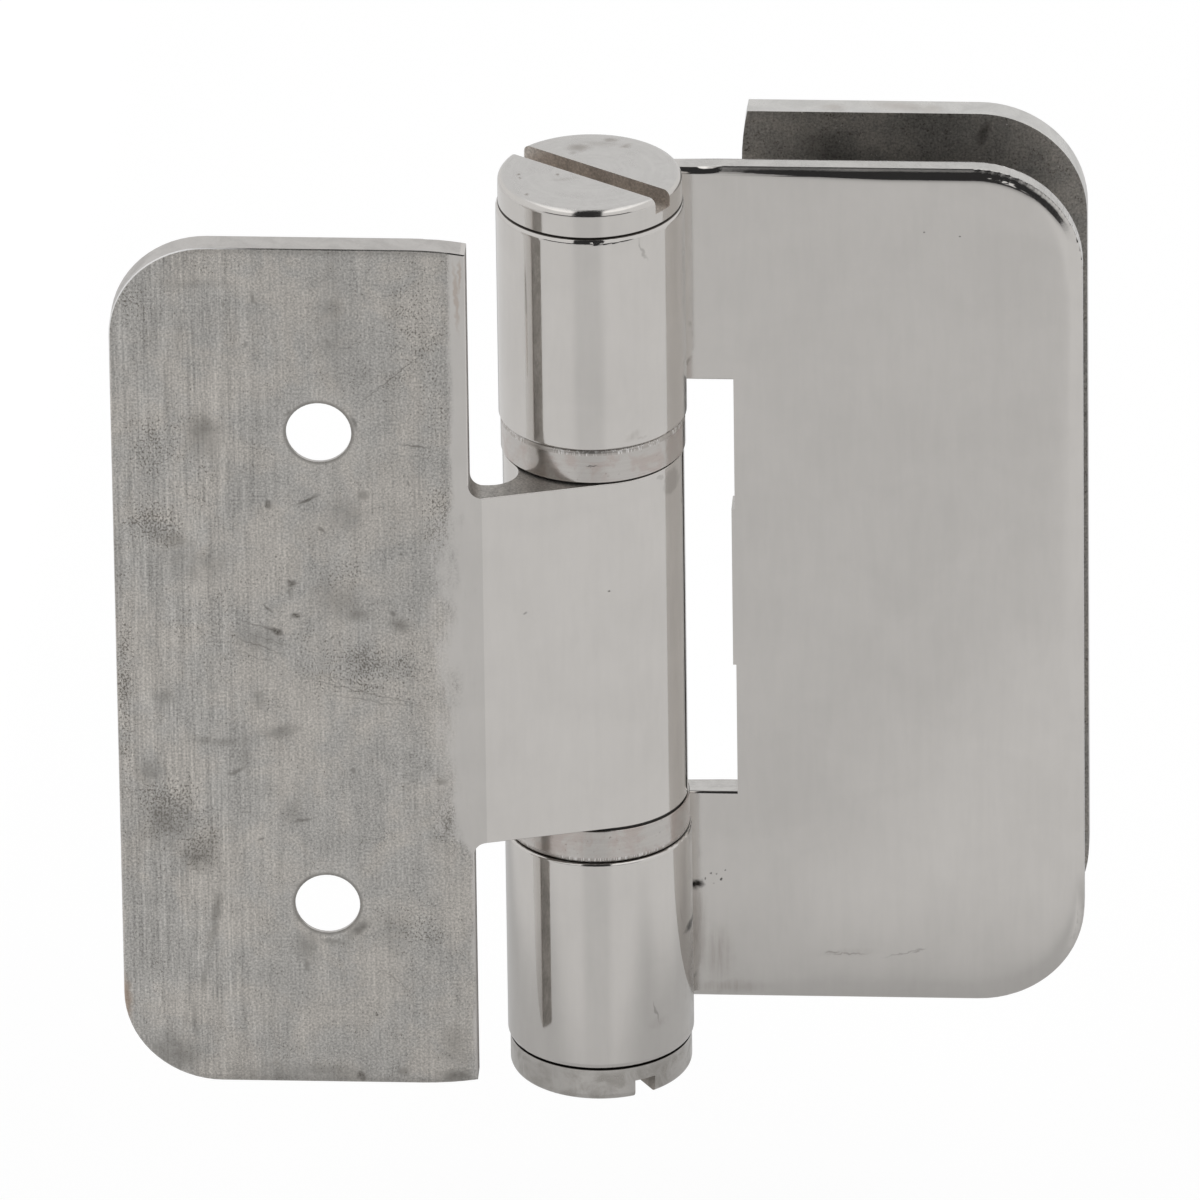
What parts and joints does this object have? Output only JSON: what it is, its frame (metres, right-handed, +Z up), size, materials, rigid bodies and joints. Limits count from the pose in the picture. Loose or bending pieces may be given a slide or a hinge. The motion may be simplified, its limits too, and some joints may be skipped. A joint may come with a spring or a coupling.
{
  "type": "shower door hinge",
  "caption": "Wall-to-glass shower door hinge: a screw-on wall leaf and a glass clamp turn on one pin in a round barrel with slotted end caps.",
  "frame": {"origin": "midway between the wall leaf's two screw holes, on its mounting face", "axes": "+X from the wall leaf to the door leaf, +Y from the wall into the room, +Z up along the barrel"},
  "size_m": [0.1029, 0.0386, 0.1069],
  "materials": {
    "wall_leaf": "polished, with a mill finish on the mounting side",
    "door_leaf": "polished",
    "clamp_plate": "polished",
    "cap": "satin",
    "ring": "turned",
    "pin": "ground",
    "screw": "satin",
    "gasket": "matt",
    "bush": "matt",
    "washer": "matt",
    "sleeve": "matt"
  },
  "bodies": {
    "wall_side": {"wall_leaf": "wall_leaf", "upper_bush": "bush", "lower_bush": "bush"},
    "door_side": {"door_leaf": "door_leaf", "hinge_pin": "pin", "top_cap": "cap", "bottom_cap": "cap", "upper_ring": "ring", "lower_ring": "ring", "upper_thrust_washer": "washer", "lower_thrust_washer": "washer", "clamp_plate": "clamp_plate", "front_gasket": "gasket", "rear_gasket": "gasket", "upper_sleeve": "sleeve", "lower_sleeve": "sleeve", "clamp_screws": "screw"}
  },
  "joints": [
    {"name": "door_swing", "type": "hinge", "parent": "wall_side", "child": "door_side", "pos_m": [0.0285, 0.0134, 0], "axis": [0, 0, 1], "range_deg": [-152, 139]}
  ]
}
